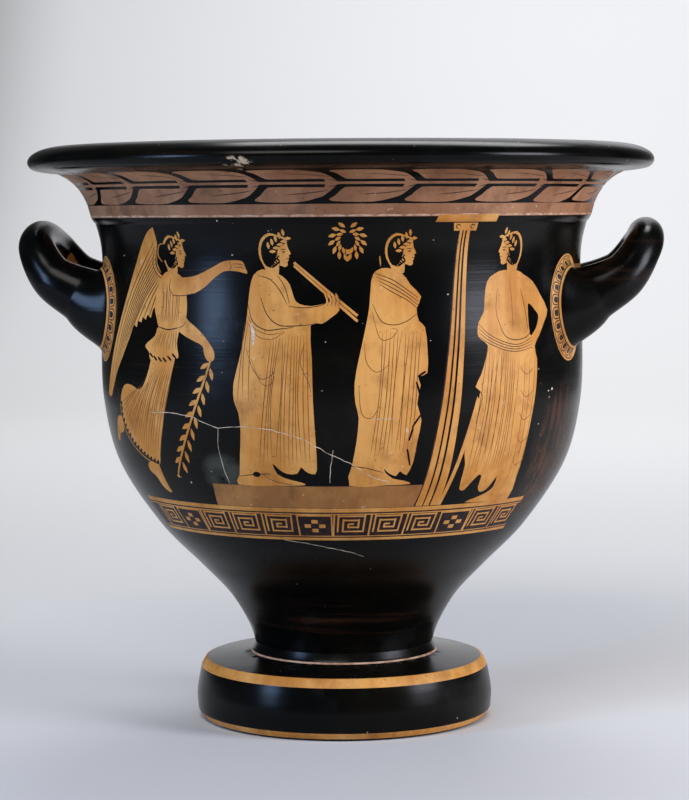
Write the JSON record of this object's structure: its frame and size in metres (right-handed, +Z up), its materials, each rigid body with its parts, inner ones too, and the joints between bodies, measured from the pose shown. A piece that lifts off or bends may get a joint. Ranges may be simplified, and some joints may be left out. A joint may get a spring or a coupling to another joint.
{
  "type": "bell krater",
  "caption": "Wheel-thrown bell-shaped mixing bowl with a stemmed disc foot, a wide rolled lip and two upturned loop handles, painted in the red-figure way.",
  "frame": {"origin": "centre of the flat ring that the foot rests on", "axes": "+Z up through the centre of the mouth; the handles stand at +X and -X; the pictured side faces -Y"},
  "size_m": [0.4112, 0.4, 0.368],
  "materials": {
    "painted_clay": "black gloss slip with figures and bands reserved in orange clay"
  },
  "bodies": {
    "root": {"krater": "painted_clay"}
  },
  "joints": []
}
